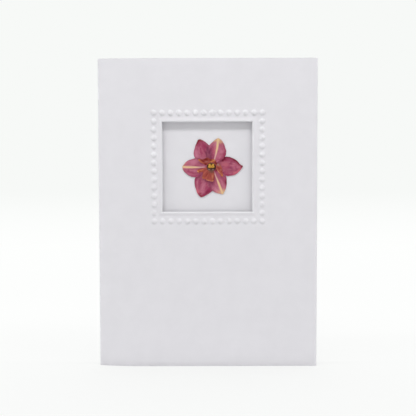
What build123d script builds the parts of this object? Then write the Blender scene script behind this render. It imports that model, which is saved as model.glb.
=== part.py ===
"""A standing greeting card with an embossed window and a pressed flower behind it.

Frame, in millimetres: +X to the right as the front is seen, +Y away from the viewer, +Z up. The origin
lies on the table under the middle of the front panel, in the middle of the card stock's thickness.
"""
import os
from math import atan2, cos, degrees, radians, sin

from build123d import *

# The sheet
card_width = 105.0  # front panel from the outside of one fold to the outside of the other
card_height = 148.0
stock = 0.35  # thickness of 300 g/m2 card

# The spine on the left: both panels bow away from the crease, first tightly, then gently
stand_angle = 30.0  # between the flat parts of the front and the back panel
bow_from_beads = 1.0  # from the bead border to where the front starts to bow
bow_angle = 9.2
shoulder_radius = 36.0
shoulder_angle = 9.8
crease_radius = 0.5

# The backing flap, folded in at the right edge, with a layer of foam tape in front of it
tape_thickness = 1.5
tape_width = 6.0
tape_from_window = 2.5  # the strips keep clear of the cut edge

# The window
window_size = 42.9
window_below_top = 30.2  # from the card's top edge to the window
window_right = -0.2  # of the window's middle from the panel's middle

# The ridge round the window, drawn as the line half-way through the stock
ridge_width = 1.8  # from the cut edge to where the ridge leaves the panel
ridge_rise = 0.38
crest_from_edge = 0.5
lip_rise = 0.02  # how far the cut edge stands in front of the panel
ridge_foot_radius = 0.7
ridge_crest_radius = 0.35

# The bead border
beads_per_side = 14
beads_from_edge = 4.4  # from the cut edge to the middle line of the border
beads_right = 0.45  # the border is pressed slightly off the window's middle
bead_diameter = 3.0
bead_rise = 0.5

# Every round dome is made of flat facets: how many round it, and at which shares of its radius they meet
dome_sides = 12
dome_rings = (1.0, 0.6, 0.2)

# The flower: its centre from the window's centre
flower_right = 1.9
flower_up = 0.26
flower_radius = 15.0
dab_diameter = 5.0
dab_thickness = 0.12
petal_thickness = 0.12
petal_bowl_radius = 400.0  # the petals are dished towards the viewer
petal_base_at = 1.1  # from the flower's centre to the cut base of each petal
petal_base_width = 2.6
layer_gap = 0.03  # air between one dry layer of the flower and the next
stations = (0.30, 0.55, 0.75, 0.90)  # shares of a petal's length at which its half-widths are given

# Direction in degrees, then in shares of the flower's radius the length, and the half-widths at the stations
# on the left and right of the petal's axis
outer_petals = {
    "petal_upper_left": (115.8, 0.947, (0.28, 0.34, 0.27, 0.13), (0.24, 0.26, 0.18, 0.1)),
    "petal_right": (-0.2, 1.007, (0.23, 0.3, 0.19, 0.05), (0.22, 0.3, 0.23, 0.11)),
    "petal_lower_left": (-108.8, 1.04, (0.25, 0.32, 0.24, 0.11), (0.27, 0.36, 0.26, 0.13)),
}
inner_petals = {
    "petal_upper_right": (75.9, 0.927, (0.21, 0.26, 0.19, 0.11), (0.28, 0.35, 0.28, 0.17)),
    "petal_lower_right": (-67.5, 0.973, (0.25, 0.29, 0.23, 0.13), (0.24, 0.29, 0.23, 0.13)),
    "petal_left": (-179.1, 0.927, (0.25, 0.33, 0.28, 0.17), (0.22, 0.27, 0.23, 0.13)),
}

# The torn trumpet: for each piece the point its pleats run to, and its rim as (direction, distance), both in
# shares of the flower's radius
trumpet_thickness = 0.12
pleat_rise = 0.2
trumpet_pieces = {
    "trumpet_lower": (
        (0.0, 0.0),
        ((194, 0.45), (207, 0.44), (217, 0.36), (228, 0.41), (235, 0.47), (247, 0.46),
         (259, 0.45), (270, 0.47), (278, 0.49), (285, 0.38), (292, 0.23)),
    ),
    "trumpet_upper": (
        (0.0, 0.0),
        ((158, 0.35), (153, 0.48), (143, 0.38), (124, 0.33), (107, 0.3), (88, 0.23),
         (65, 0.23), (53, 0.21)),
    ),
    "trumpet_right": (
        (0.107, 0.0),
        ((2, 0.15), (-4, 0.22), (-29, 0.29), (-43, 0.38), (-52, 0.43)),
    ),
}
throat_width = 4.5
throat_height = 4.1
throat_down = 0.4  # its centre below the flower's centre
throat_wall = 0.3
throat_depth = 0.3
throat_floor = 0.12
anther_rise = 0.45
anther_lobes = (  # right, up and diameter of each rounded anther in shares of the throat's width
    (-0.18, 0.17, 0.31),
    (0.21, 0.17, 0.31),
    (0.01, 0.03, 0.35),
    (-0.23, -0.07, 0.33),
    (0.24, -0.07, 0.33),
)
filament_diameter = 1.0  # the bunch of filaments that carries the anthers

# What follows from the sizes above
flap_pitch = stock + tape_thickness  # from the middle of the front panel to the middle of the flap
fold_radius = flap_pitch / 2
straight_end = card_width / 2 - fold_radius - stock / 2  # where the flat front ends on the right
bead_half = window_size / 2 + beads_from_edge
bead_pitch = 2 * bead_half / (beads_per_side - 1)
border_half = bead_half + bead_diameter / 2
window_x = window_right
border_x = window_x + beads_right
bow_start = border_x - border_half - bow_from_beads  # where the flat front ends on the left
lean = bow_angle + shoulder_angle  # slope of each panel where it enters the crease
crease_turn = 180 - stand_angle - 2 * lean
shoulder_reach = (
    shoulder_radius * (sin(radians(lean)) - sin(radians(bow_angle)))
    + crease_radius * (1 - sin(radians(lean)))
)
bow_radius = (card_width / 2 - stock / 2 + bow_start - shoulder_reach) / sin(radians(bow_angle))
back_flat = card_width - radians(
    bow_radius * bow_angle + shoulder_radius * shoulder_angle + crease_radius * crease_turn / 2
)
window_z = card_height - window_below_top - window_size / 2
ridge_outside = window_size / 2 + ridge_width + ridge_foot_radius / 2  # where the ring meets the flat panel
backing_y = stock / 2 + tape_thickness  # front face of the backing flap
flower_x = window_x + flower_right
flower_z = window_z + flower_up
outer_y = backing_y - dab_thickness  # back of the outer petals at the flower's centre
inner_y = outer_y - petal_thickness - layer_gap
trumpet_y = inner_y - petal_thickness - layer_gap


def front_path():
    """Middle line of the front panel, the crease and the back panel, seen from above, from right to left."""
    flat = Line((straight_end, 0), (bow_start, 0))
    bow = JernArc(flat @ 1, flat % 1, bow_radius, -bow_angle)
    shoulder = JernArc(bow @ 1, bow % 1, shoulder_radius, -shoulder_angle)
    crease = JernArc(shoulder @ 1, shoulder % 1, crease_radius, -crease_turn)
    back_shoulder = JernArc(crease @ 1, crease % 1, shoulder_radius, -shoulder_angle)
    back_bow = JernArc(back_shoulder @ 1, back_shoulder % 1, bow_radius, -bow_angle)
    back = Line(back_bow @ 1, back_bow @ 1 + (back_bow % 1) * back_flat)
    return [flat, bow, shoulder, crease, back_shoulder, back_bow, back]


def layer_path(depth):
    """Line that follows the front panel's middle at a depth behind it, as far as the end of the bow."""
    flat = Line((straight_end, depth), (bow_start, depth))
    bow = JernArc(flat @ 1, flat % 1, bow_radius - depth, -bow_angle)
    return [flat, bow]


def flap_path():
    """Middle line of the tight right-hand fold and of the flap behind the front panel."""
    fold = JernArc((straight_end, 0), (1, 0), fold_radius, 180)
    return [fold] + layer_path(flap_pitch)


def folded_sheet():
    """The whole sheet before the window is cut: its middle line given the stock's thickness."""
    plan = trace(front_path() + flap_path(), stock)
    return extrude(plan, card_height)


def window_ridge():
    """Square ring of pressed card round the window: four mitred lengths with the stock's thickness."""
    half = window_size / 2
    foot = half + ridge_width
    profile = FilletPolyline(
        (0, ridge_outside),
        (0, foot),
        (-ridge_rise, half + crest_from_edge),
        (-lip_rise, half),
        radius=(ridge_foot_radius, ridge_crest_radius),
    )
    long = 1.2 * ridge_outside
    length = extrude(Plane.YZ * trace(profile, stock), long, both=True)
    corner_lines = make_face(Polyline((0, 0), (-long, long), (long, long), close=True))
    side = length & extrude(Plane.XZ * corner_lines, 2 * (ridge_rise + stock), both=True)
    return Part() + [Pos(window_x, 0, window_z) * Rot(0, 90 * turn, 0) * side for turn in range(4)]


def bead_centres():
    """Centres of the beads on the panel, clockwise from the top left, as (x, z)."""
    steps = [-bead_half + bead_pitch * i for i in range(beads_per_side - 1)]
    top = [(s, bead_half) for s in steps]
    right = [(bead_half, -s) for s in steps]
    bottom = [(-s, -bead_half) for s in steps]
    left = [(-bead_half, s) for s in steps]
    return [(border_x + x, window_z + z) for x, z in top + right + bottom + left]


def dome(diameter, rise):
    """Low round dome that points forwards from the plane y = 0. Its rings lie on a paraboloid."""
    rings = [(share * diameter / 2, rise * (1 - share**2)) for share in dome_rings]
    levels = []
    for (wide, low), (narrow, high) in zip(rings, rings[1:]):
        outline = RegularPolygon(wide, dome_sides, major_radius=False)
        slope = degrees(atan2(wide - narrow, high - low))
        levels.append(Pos(0, 0, low) * extrude(outline, high - low, taper=slope))
    return Rot(90, 0, 0) * (Part() + levels)


def card():
    """The folded sheet with its window, ridge and beads, which are pressed through from behind."""
    cut = Pos(window_x, 0, window_z) * Box(2 * ridge_outside, 2 * stock, 2 * ridge_outside)
    sheet = folded_sheet() - cut + window_ridge()
    bead = dome(bead_diameter, bead_rise)
    fronts = [Pos(x, -stock / 2, z) * bead for x, z in bead_centres()]
    hollows = [Pos(x, stock / 2, z) * bead for x, z in bead_centres()]
    return sheet + fronts - hollows


def tape_strips():
    """Four strips of foam tape that fill the layer between the front panel and the flap."""
    layer = extrude(trace(layer_path(flap_pitch / 2), tape_thickness), card_height)
    inner = window_size / 2 + tape_from_window
    middle = inner + tape_width / 2
    depth = card_width
    across = Box(2 * (inner + tape_width), depth, tape_width)
    upright = Box(tape_width, depth, 2 * inner)
    return {
        "tape_top": layer & (Pos(window_x, 0, window_z + middle) * across),
        "tape_bottom": layer & (Pos(window_x, 0, window_z - middle) * across),
        "tape_left": layer & (Pos(window_x - middle, 0, window_z) * upright),
        "tape_right": layer & (Pos(window_x + middle, 0, window_z) * upright),
    }


def at_flower(shape, y):
    """Moves a flower piece from its own centre to its place, with its zero depth at y."""
    return Pos(flower_x, y, flower_z) * shape


def petal(direction, length, left, right):
    """A thin dished petal. Its outline is two curves from the base to the tip through the half-widths."""
    base = petal_base_width / 2
    tip = length * flower_radius
    along = [tip * station for station in stations]
    ups = [(petal_base_at, base)] + [(a, flower_radius * w) for a, w in zip(along, left)] + [(tip, 0)]
    downs = [(petal_base_at, -base)] + [(a, -flower_radius * w) for a, w in zip(along, right)] + [(tip, 0)]
    outline = make_face([Spline(ups), Spline(downs), Line(ups[0], downs[0])])
    prism = extrude(Plane.XZ * Rot(0, 0, direction) * outline, 10 * petal_thickness, both=True)
    behind = Pos(0, -petal_bowl_radius, 0) * Sphere(petal_bowl_radius)
    front = Pos(0, -petal_bowl_radius, 0) * Sphere(petal_bowl_radius - petal_thickness)
    return (prism & behind) - front


def on_petals(x, z, raised=0):
    """Point at the trumpet's depth that follows the dish of the petals below it, raised off them."""
    return Vector(x, -(x**2 + z**2) / (2 * petal_bowl_radius) - raised, z)


def trumpet_piece(apex, rim):
    """A torn piece of the trumpet: flat facets from one point to the rim, where every other fold is raised."""
    ax, az = [share * flower_radius for share in apex]
    top = on_petals(ax, az)
    points = [
        on_petals(
            ax + distance * flower_radius * cos(radians(turn)),
            az + distance * flower_radius * sin(radians(turn)),
            raised=pleat_rise if i % 2 else 0,
        )
        for i, (turn, distance) in enumerate(rim)
    ]
    facets = [
        Solid.extrude(Face(Wire.make_polygon([top, a, b], close=True)), Vector(0, -trumpet_thickness, 0))
        for a, b in zip(points, points[1:])
    ]
    piece = Part() + facets
    return piece - throat_block(layer_gap)


def throat_block(margin):
    """Oval block round the throat, larger by a margin."""
    oval = Ellipse(throat_width / 2 + margin, throat_height / 2 + margin)
    return Pos(0, 0, -throat_down) * extrude(Plane.XZ * oval, 5 * throat_depth, both=True)


def throat():
    """Small oval dish at the bottom of the trumpet."""
    outer = Ellipse(throat_width / 2, throat_height / 2)
    inner = Ellipse(throat_width / 2 - throat_wall, throat_height / 2 - throat_wall)
    dish = extrude(Plane.XZ * outer, throat_depth)
    bowl = Pos(0, -throat_floor, 0) * extrude(Plane.XZ * inner, throat_depth)
    return Pos(0, 0, -throat_down) * (dish - bowl)


def anthers():
    """Cluster of overlapping rounded anthers on a short bunch of filaments that stands on the throat's floor."""
    sizes = [[share * throat_width for share in lobe] for lobe in anther_lobes]
    lobes = [Pos(x, 0, z) * dome(diameter, anther_rise) for x, z, diameter in sizes]
    reach = throat_depth - throat_floor
    filaments = Pos(0, reach / 2, 0) * Cylinder(filament_diameter / 2, reach, rotation=(90, 0, 0))
    return filaments + lobes


os.makedirs("parts", exist_ok=True)
pieces = {"card": card(), **tape_strips()}
dab = Cylinder(dab_diameter / 2, dab_thickness, rotation=(90, 0, 0))
pieces["glue_dab"] = at_flower(dab, backing_y - dab_thickness / 2)
for name, sizes in outer_petals.items():
    pieces[name] = at_flower(petal(*sizes), outer_y)
for name, sizes in inner_petals.items():
    pieces[name] = at_flower(petal(*sizes), inner_y)
for name, sizes in trumpet_pieces.items():
    pieces[name] = at_flower(trumpet_piece(*sizes), trumpet_y)
pieces["throat"] = at_flower(throat(), trumpet_y)
pieces["anthers"] = at_flower(anthers(), trumpet_y - throat_depth)
for name, shape in pieces.items():
    export_step(shape, f"parts/{name}.step")
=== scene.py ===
"""A standing greeting card with an embossed window and a pressed flower behind it, dressed for the studio."""

from collections import namedtuple
from math import cos, pi, radians, sin

import bpy
import numpy as np
from bpy.props import FloatProperty, FloatVectorProperty, IntProperty, PointerProperty
from mathutils import Matrix, Vector


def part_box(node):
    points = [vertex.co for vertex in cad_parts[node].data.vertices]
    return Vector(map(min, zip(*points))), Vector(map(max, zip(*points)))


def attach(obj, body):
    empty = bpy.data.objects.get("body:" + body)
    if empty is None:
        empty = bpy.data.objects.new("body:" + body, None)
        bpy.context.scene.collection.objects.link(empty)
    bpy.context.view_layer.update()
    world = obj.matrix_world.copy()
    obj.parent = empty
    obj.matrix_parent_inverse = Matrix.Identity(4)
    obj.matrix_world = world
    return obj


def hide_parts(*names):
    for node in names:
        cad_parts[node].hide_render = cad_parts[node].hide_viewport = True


bl_info = {
    "name": "Pressed flower card",
    "version": (1, 0, 0),
    "blender": (4, 5, 0),
    "location": "View3D > Sidebar > Flower card",
    "description": "Builds the folded card, its mounted flower and the studio round them",
    "category": "Object",
}

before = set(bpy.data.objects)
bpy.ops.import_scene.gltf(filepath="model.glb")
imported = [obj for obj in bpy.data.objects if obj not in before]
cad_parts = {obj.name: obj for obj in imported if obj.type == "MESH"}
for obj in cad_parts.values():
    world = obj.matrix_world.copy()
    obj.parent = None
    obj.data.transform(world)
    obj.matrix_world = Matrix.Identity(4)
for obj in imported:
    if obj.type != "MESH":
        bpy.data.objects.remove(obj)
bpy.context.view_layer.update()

MM = 0.001
BODY = "root"
WHITE = (1, 1, 1, 1)

# Mesh cells of the sheet: from the window over the ridge, on to the beads, across them and past them; from
# there to the panel's outline; on each run from the crease to the back's end; on each from the fold to the
# flap's end
RING_CELLS = (18, 2, 15, 1)
OUTER_RINGS = 12
OUTER_WIDENING = 1.2  # power by which the steps between the outer rings widen
BACK_CELLS = (12, 5, 6, 3)
FLAP_CELLS = (14, 12, 6)

# Mesh cells of the flower: along and across a petal, out and round a trumpet piece, and across the two discs
PETAL_CELLS = (84, 52)
TRUMPET_CELLS = (30, 72)
THROAT_CELLS = 64
ANTHER_CELLS = 88

TIP_CROWDING = 1.5  # power that crowds a petal's rows towards its tip
VEIN_PHASE = 34  # radians of the veins' wave from a petal's axis to its margin
GROOVE_WIDTH = 0.07  # of the groove along a petal's axis, as a share of the half-width
TRUMPET_SEED, THROAT_SEED, ANTHER_SEED = 40, 61, 71

# How the floor changes as the camera sees it: by the distance behind the card or off its middle, from where
# to where, in metres, and the amounts at both ends
FLOOR_CHANGES = {
    "lit": ("behind", -0.12, 0.18, 0, 1),
    "backdrop": ("behind", 0.3, 1.8, 0, 1),
    "past_foot": ("behind", -0.004, 0.012, 0, 1),
    "shadow": ("off", 0.15, 0.6, 0.08, 0),
}

# Coats of colour on the flower, in the order in which they are laid
PETAL_COATS = ("pale", "deep", "coral", "purple", "wine", "dark")
STRIPE_COATS = ("stripe", "cream")
TRUMPET_COATS = ("dark", "orange", "brown", "clear", "pale")
THROAT_COATS = ("rust", "clear", "dark")

# For each petal: the direction of its axis in degrees, its length in millimetres, its half-widths at the
# stations on the left and on the right of the axis, how strongly its left margin, its right margin and its
# tip curl up, how far left of the axis its stripe bends, and its stains by colour. A stain is where it lies
# along the petal and across it, in shares of the length and of the half-width with the left positive, its
# reach along and across, and its strength
Petal = namedtuple("Petal", "turn length left right lift bend stains")
PETAL_STATIONS = (0.08, 0.25, 0.40, 0.55, 0.65, 0.75, 0.84, 0.90, 0.95, 0.98, 1.0)
OUTER_PETALS = {
    "petal_upper_left": Petal(
        115.8, 14.2,
        (1.3, 3.6, 4.9, 5.25, 4.85, 3.9, 2.75, 1.9, 1, 0.5, 0.08),
        (1.3, 3, 3.8, 3.9, 3.55, 3, 2.4, 1.9, 1.3, 0.9, 0.1),
        (0.3, 0.5, 1), 0,
        {
            "dark": [
                (0.975, 0.3, 0.085, 1.4, 1), (0.9, 0.95, 0.08, 0.3, 0.8), (0.94, -0.6, 0.05, 0.6, 0.7),
            ],
            "deep": [(0.72, -0.3, 0.2, 0.5, 0.9), (0.62, 0.3, 0.17, 0.1, 0.7), (0.84, 0.2, 0.1, 0.5, 0.8)],
            "purple": [(0.55, -0.72, 0.14, 0.22, 1), (0.48, -0.12, 0.12, 0.12, 0.7)],
            "pale": [
                (0.58, 0.78, 0.2, 0.26, 0.8), (0.4, 0.45, 0.12, 0.35, 0.4), (0.6, -0.45, 0.14, 0.08, 0.5),
                (0.74, 0.85, 0.12, 0.16, 0.6),
            ],
        },
    ),
    "petal_right": Petal(
        -0.2, 15.2,
        (1.3, 3.1, 4.4, 4.5, 4.1, 3.35, 2.2, 1.15, 0.6, 0.38, 0.12),
        (1.3, 2.9, 4.2, 4.67, 4.4, 4, 3, 2.15, 1.25, 0.55, 0.12),
        (1, 0.35, 0.9), 0,
        {
            "wine": [
                (0.54, 1, 0.15, 0.16, 1), (0.74, 0.95, 0.14, 0.26, 1), (0.66, 1, 0.16, 0.16, 1),
                (0.42, 0.84, 0.08, 0.24, 1), (0.36, 0.76, 0.08, 0.28, 1), (0.87, 0.85, 0.08, 0.45, 1),
            ],
            "dark": [(0.84, 0.92, 0.1, 0.24, 0.8), (0.975, 0, 0.05, 2, 1)],
            "deep": [
                (0.62, 0.78, 0.25, 0.22, 0.6), (0.58, -0.15, 0.16, 0.14, 0.6), (0.5, -0.95, 0.22, 0.2, 0.8),
            ],
            "coral": [
                (0.8, -0.85, 0.1, 0.2, 0.8), (0.9, -0.8, 0.05, 0.4, 0.7), (0.44, 0.2, 0.15, 0.34, 0.4),
            ],
            "purple": [(0.62, 0.36, 0.05, 0.18, 0.6), (0.62, -0.28, 0.05, 0.16, 0.6)],
            "pale": [(0.7, -0.1, 0.08, 0.25, 0.4)],
        },
    ),
    "petal_lower_left": Petal(
        -108.8, 15.7,
        (1.3, 3.3, 4.5, 4.8, 4.5, 3.8, 2.8, 1.95, 1.25, 0.6, 0.1),
        (1.3, 3.6, 5, 5.45, 5.05, 4.2, 3.15, 2.45, 1.65, 0.75, 0.1),
        (0.5, 0.3, 0.8), 0,
        {
            "dark": [(0.975, 0.1, 0.045, 1.3, 0.8), (0.91, -0.25, 0.04, 0.22, 0.6)],
            "coral": [(0.87, -0.85, 0.08, 0.35, 1)],
            "wine": [(0.8, 0.78, 0.09, 0.25, 0.7)],
            "deep": [
                (0.74, 0.65, 0.14, 0.36, 1), (0.9, 0.55, 0.06, 0.5, 0.9), (0.6, -1, 0.25, 0.15, 0.8),
                (0.55, -0.55, 0.14, 0.12, 0.5),
            ],
            "pale": [
                (0.64, -0.12, 0.18, 0.12, 0.6), (0.8, -0.38, 0.1, 0.12, 0.4), (0.5, 0.3, 0.14, 0.1, 0.4),
            ],
            "purple": [(0.42, -0.75, 0.16, 0.3, 0.25)],
        },
    ),
}
INNER_PETALS = {
    "petal_upper_right": Petal(
        75.9, 13.9,
        (1.3, 2.8, 3.7, 3.9, 3.5, 2.85, 2, 1.4, 0.85, 0.4, 0.08),
        (1.3, 3.7, 5.1, 5.4, 5.1, 4.15, 3.45, 2.7, 1.85, 1, 0.08),
        (0.2, 0.7, 0.4), -0.7,
        {
            "cream": [(0.97, -0.1, 0.095, 0.9, 1), (0.9, 0.8, 0.08, 0.22, 0.9), (0.9, 0.1, 0.08, 0.3, 0.6)],
            "pale": [
                (0.6, -0.45, 0.14, 0.22, 0.8), (0.4, -0.35, 0.14, 0.25, 0.4), (0.78, 0.35, 0.12, 0.25, 0.9),
            ],
            "coral": [(0.62, 0.12, 0.2, 0.12, 0.5)],
            "wine": [(0.44, -0.97, 0.12, 0.13, 0.7)],
            "deep": [
                (0.84, -0.9, 0.12, 0.22, 0.6), (0.5, -0.8, 0.12, 0.2, 0.7), (0.6, 0.45, 0.1, 0.15, 0.6),
            ],
            "purple": [(0.48, 0.65, 0.16, 0.3, 1), (0.33, 0.45, 0.1, 0.3, 0.8)],
        },
    ),
    "petal_lower_right": Petal(
        -67.5, 14.5,
        (1.3, 3.2, 4.4, 4.7, 4.1, 3.45, 2.6, 1.85, 1.05, 0.5, 0.08),
        (1.3, 3.2, 4.3, 4.5, 4.3, 3.95, 3.15, 2.3, 1.2, 0.5, 0.08),
        (0.7, 0.2, 0.5), 0.2,
        {
            "cream": [(0.97, 0.1, 0.1, 0.9, 1), (0.93, 0.8, 0.05, 0.3, 0.8), (0.86, -0.6, 0.07, 0.25, 0.2)],
            "dark": [(0.17, 0.8, 0.06, 0.45, 1)],
            "pale": [
                (0.8, -0.52, 0.15, 0.36, 1), (0.7, 0.45, 0.16, 0.18, 0.6), (0.45, 0.3, 0.14, 0.2, 0.4),
            ],
            "coral": [(0.9, -0.8, 0.06, 0.35, 0.5)],
            "wine": [(0.66, 0.98, 0.07, 0.18, 1)],
            "deep": [
                (0.5, 0.55, 0.1, 0.12, 0.5), (0.58, 0.9, 0.16, 0.18, 0.6), (0.32, -0.1, 0.12, 0.4, 0.5),
            ],
        },
    ),
    "petal_left": Petal(
        -179.1, 13.9,
        (1.3, 3.2, 4.6, 5.1, 5.03, 4.5, 3.6, 2.8, 2.1, 1.3, 0.1),
        (1.3, 2.8, 3.8, 4.1, 3.6, 3.2, 2.6, 1.9, 1, 0.5, 0.1),
        (0.5, 0.2, 0.3), 0.35,
        {
            "cream": [(0.985, -0.2, 0.035, 0.8, 0.9), (0.93, -0.95, 0.05, 0.2, 0.6)],
            "pale": [
                (0.62, -0.6, 0.22, 0.3, 0.9), (0.82, -0.8, 0.1, 0.25, 1), (0.56, 0.36, 0.14, 0.12, 0.5),
            ],
            "coral": [(0.84, -0.55, 0.1, 0.25, 0.5)],
            "deep": [(0.8, 1, 0.14, 0.12, 0.8), (0.5, 0.9, 0.2, 0.14, 0.8), (0.68, 0.6, 0.14, 0.14, 0.6)],
            "purple": [(0.36, -0.55, 0.09, 0.25, 0.45), (0.36, 0.35, 0.09, 0.3, 0.5)],
        },
    ),
}

# For each torn piece of the trumpet: the point that its pleats run to, in millimetres from the flower's
# centre, its rim as (direction in degrees, distance in millimetres), how many pleats it has, and its patches
# by colour. A patch is where its middle lies right of the flower's centre and above it, its reach along its
# own direction and across it, all in millimetres, its strength, and that direction in degrees
Trumpet = namedtuple("Trumpet", "apex rim pleats patches")
TRUMPET_PIECES = {
    "trumpet_lower": Trumpet(
        (0, 0),
        (
            (193.5, 6.6), (196, 7.05), (201, 7.1), (208, 6.7), (212, 5.3), (222, 5.6), (231, 6.9),
            (235.5, 7.2), (245, 6.9), (254, 7), (264, 7.1), (271, 7.3), (278.5, 7.2), (282.5, 6.4),
            (289, 4.7), (296, 3.4),
        ),
        5,
        {
            "orange": [
                (-6.45, -2.45, 0.7, 0.35, 1, 124), (-4.9, -1.85, 1, 0.3, 0.6, 14),
                (-4.05, -5.5, 0.55, 0.35, 0.6, 90),
            ],
            "pale": [
                (-6.65, -2.6, 0.75, 0.24, 1, 124), (-1.6, -6.75, 2.2, 0.24, 0.8, -14),
                (0.7, -7.1, 0.7, 0.25, 0.8, 0), (0.65, -5, 0.9, 0.3, 0.6, 88),
            ],
            "dark": [
                (-5.3, -2.35, 0.8, 0.28, 0.7, 20), (-3, -1.5, 0.9, 0.25, 0.4, 15),
                (-2, -3.9, 1.3, 0.3, 0.7, 62), (-0.4, -4.6, 1.3, 0.25, 0.5, 82),
                (1.2, -5.6, 1, 0.25, 0.6, 88),
            ],
            "brown": [(0.2, -2.75, 1.5, 0.6, 1, 0)],
        },
    ),
    "trumpet_upper": Trumpet(
        (0, 0),
        (
            (18, 2.8), (28, 3.1), (45, 3.2), (59, 3.5), (73, 3.6), (91, 3.5), (104, 3.9), (114, 4.6),
            (123, 4.8), (138, 5.1), (144, 5.7), (148.5, 6.6), (154, 7), (157.5, 6.1), (162, 4.4),
            (166, 3.3),
        ),
        4,
        {
            "orange": [
                (-6, 3, 0.5, 0.42, 1, 0), (-4.9, 1.95, 1.1, 0.16, 0.6, -36), (1.15, 2.9, 0.6, 0.45, 1, 20),
                (0.1, 2.15, 0.85, 0.36, 1, 30),
            ],
            "dark": [
                (-4, 2.6, 1.4, 0.5, 1, -30), (-2.6, 3.3, 1.6, 0.75, 1, 8), (-2.7, 1.05, 0.75, 0.55, 1, 0),
                (-0.6, 3, 0.8, 0.6, 0.9, 0), (0.2, 3.1, 0.45, 0.28, 0.4, 0), (2.3, 1.7, 0.8, 0.6, 1, -30),
            ],
            "clear": [(-2.05, 2.25, 0.7, 0.26, 0.45, 10)],
            "pale": [(1.7, 2.9, 0.4, 0.28, 0.7, 60)],
        },
    ),
    "trumpet_right": Trumpet(
        (1.6, 0),
        (
            (-57, 5.6), (-53, 6.3), (-46, 5.8), (-38, 4.8), (-22, 4), (-10, 3.5), (4, 3.1), (24, 2.7),
            (44, 2.2),
        ),
        3,
        {
            "dark": [
                (2.4, 1.3, 0.6, 0.4, 0.9, -30), (3.6, -0.95, 1.1, 0.45, 0.5, -50),
                (4.9, -2.7, 0.7, 0.25, 0.45, -75),
            ],
            # Clear: a papery fold, partly a painted highlight, then a small painted glint
            "clear": [(3.35, 0.75, 0.85, 0.45, 1, -35), (4.7, -1.7, 0.35, 0.2, 0.9, -80)],
            "pale": [(3.4, -2.45, 1.7, 0.22, 0.9, -49)],
            "orange": [(5.25, -4.5, 0.6, 0.4, 1, -80)],
        },
    ),
}
# The dark patches ring the anthers: painted shade of the throat's wall
THROAT_PATCHES = {
    "dark": [
        (-1.95, 0.35, 1, 0.6, 1, 80), (-1.3, 1.4, 0.8, 0.55, 1, 45), (0, 1.05, 0.6, 0.35, 1, 0),
        (1.5, 1.3, 0.7, 0.6, 1, -45), (1.9, -0.1, 1, 0.45, 1, 90), (1.8, -1.2, 0.8, 0.5, 1, -60),
        (-1.95, -0.9, 0.8, 0.3, 0.35, -60), (-0.2, -1.85, 0.5, 0.16, 0.35, 20),
    ],
    "rust": [(0, 1.75, 0.75, 0.3, 1, 0), (-0.9, -2.45, 1, 0.25, 0.5, 0)],
    "clear": [(-0.9, -1.4, 0.45, 0.28, 0.8, 0), (0.75, -1.45, 0.5, 0.28, 0.7, 0)],
}

# The anthers: how far they reach sideways and up, then each lobe's place right and up, its radius and its
# height, all in millimetres
ANTHER_REACH = (1.8, 1.5)
ANTHER_LOBES = (
    (-0.82, 0.62, 0.62, 0.34), (0.84, 0.62, 0.60, 0.34), (-0.55, 0.88, 0.34, 0.28), (0.59, 0.88, 0.34, 0.28),
    (0.00, -0.12, 0.58, 0.36), (-1.10, -0.22, 0.50, 0.32), (1.06, -0.22, 0.50, 0.32),
    (-0.52, -0.48, 0.38, 0.28), (0.42, -0.46, 0.38, 0.28),
)


# Sums

def linear(code):
    """Linear RGBA of an sRGB hex colour such as "E6E4E8"."""
    parts = [int(code[i:i + 2], 16) / 255 for i in (0, 2, 4)]
    return tuple(c / 12.92 if c <= 0.04045 else ((c + 0.055) / 1.055) ** 2.4 for c in parts) + (1.0,)


def smooth(x, start, end):
    """Cubic step from 0 at start to 1 at end."""
    t = np.clip((x - start) / (end - start), 0, 1)
    return t * t * (3 - 2 * t)


def curve_through(x, xs, ys):
    """Cubic Hermite curve through the points, whose slopes are those between each point's neighbours."""
    xs, ys = np.asarray(xs, float), np.asarray(ys, float)
    slopes = np.gradient(ys, xs)
    i = np.clip(np.searchsorted(xs, x) - 1, 0, len(xs) - 2)
    gap = xs[i + 1] - xs[i]
    t = np.clip((x - xs[i]) / gap, 0, 1)
    start = (1 + 2 * t) * (1 - t) ** 2 * ys[i] + t * (1 - t) ** 2 * gap * slopes[i]
    return start + t * t * (3 - 2 * t) * ys[i + 1] - t * t * (1 - t) * gap * slopes[i + 1]


def value_noise(x, y, size, seed):
    """Smooth noise from -1 to 1: seeded values on a square lattice of that size, joined by cubic steps."""
    cells = 64
    table = np.random.default_rng(seed).uniform(-1, 1, (cells, cells))
    u, v = x / size, y / size
    i, j = np.floor(u).astype(int), np.floor(v).astype(int)
    a, b = smooth(u - i, 0, 1), smooth(v - j, 0, 1)
    near, far = (
        table[i % cells, k % cells] * (1 - a) + table[(i + 1) % cells, k % cells] * a for k in (j, j + 1)
    )
    return near * (1 - b) + far * b


def disc(cells):
    """Square grid drawn onto a disc, so that its squares become rings: radius and bearing of each point."""
    u, v = np.meshgrid(np.linspace(-1, 1, cells + 1), np.linspace(-1, 1, cells + 1))
    radius = np.maximum(abs(u), abs(v))
    wide = abs(u) >= abs(v)
    safe_u, safe_v = np.where(abs(u) < 1e-9, 1, u), np.where(abs(v) < 1e-9, 1, v)
    bearing = np.where(wide, pi / 4 * v / safe_u, pi / 2 - pi / 4 * u / safe_v)
    return radius, bearing + np.where(np.where(wide, u, v) < 0, pi, 0)


def spotted(table, kinds, x, y):
    """A mask for each kind of coat: at points (x, y), the strongest of the bells that its spots are.

    A bell falls off along and across its own direction, which is level where the spot gives none.
    """
    masks = {}
    for kind in kinds:
        bells = [0 * x]
        for right, up, long, wide, strength, *direction in table.get(kind, ()):
            turn = radians(direction[0]) if direction else 0
            a, b = x - right, y - up
            along, across = a * cos(turn) + b * sin(turn), b * cos(turn) - a * sin(turn)
            bells.append(strength * np.exp(-((along / long) ** 2) - (across / wide) ** 2))
        masks[kind] = np.max(bells, 0)
    return masks


# Meshes

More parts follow.
